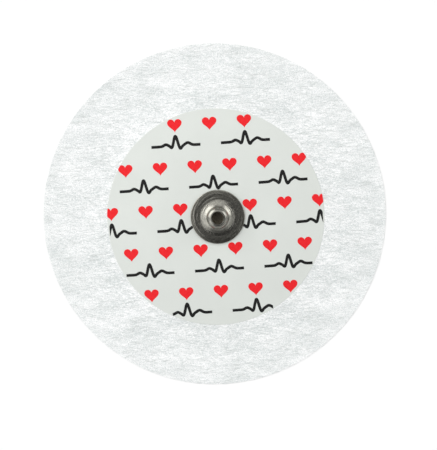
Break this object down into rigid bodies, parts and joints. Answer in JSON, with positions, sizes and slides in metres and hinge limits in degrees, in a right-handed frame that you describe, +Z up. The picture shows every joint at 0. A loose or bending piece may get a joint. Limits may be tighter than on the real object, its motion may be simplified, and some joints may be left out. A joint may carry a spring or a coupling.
{
  "type": "ecg electrode",
  "caption": "Round single-use ECG electrode: soft non-woven tape disc with a printed label, a metal snap stud for the lead wire and a gel pad on the skin side.",
  "frame": {"origin": "centre of the gel pad's skin face, on the stud's axis", "axes": "+Z up the stud's axis, away from the skin; +Y to the top of the print"},
  "size_m": [0.06, 0.06, 0.0043],
  "materials": {
    "tape": "matt white non-woven tape",
    "label": "satin printed film",
    "stud": "tumbled drawn steel",
    "eyelet": "dark silver chloride coat",
    "gel": "wet translucent gel"
  },
  "bodies": {
    "root": {"tape_backing": "tape", "label_disc": "label", "snap_stud": "stud", "sensor_eyelet": "eyelet", "gel_pad": "gel"}
  },
  "joints": []
}
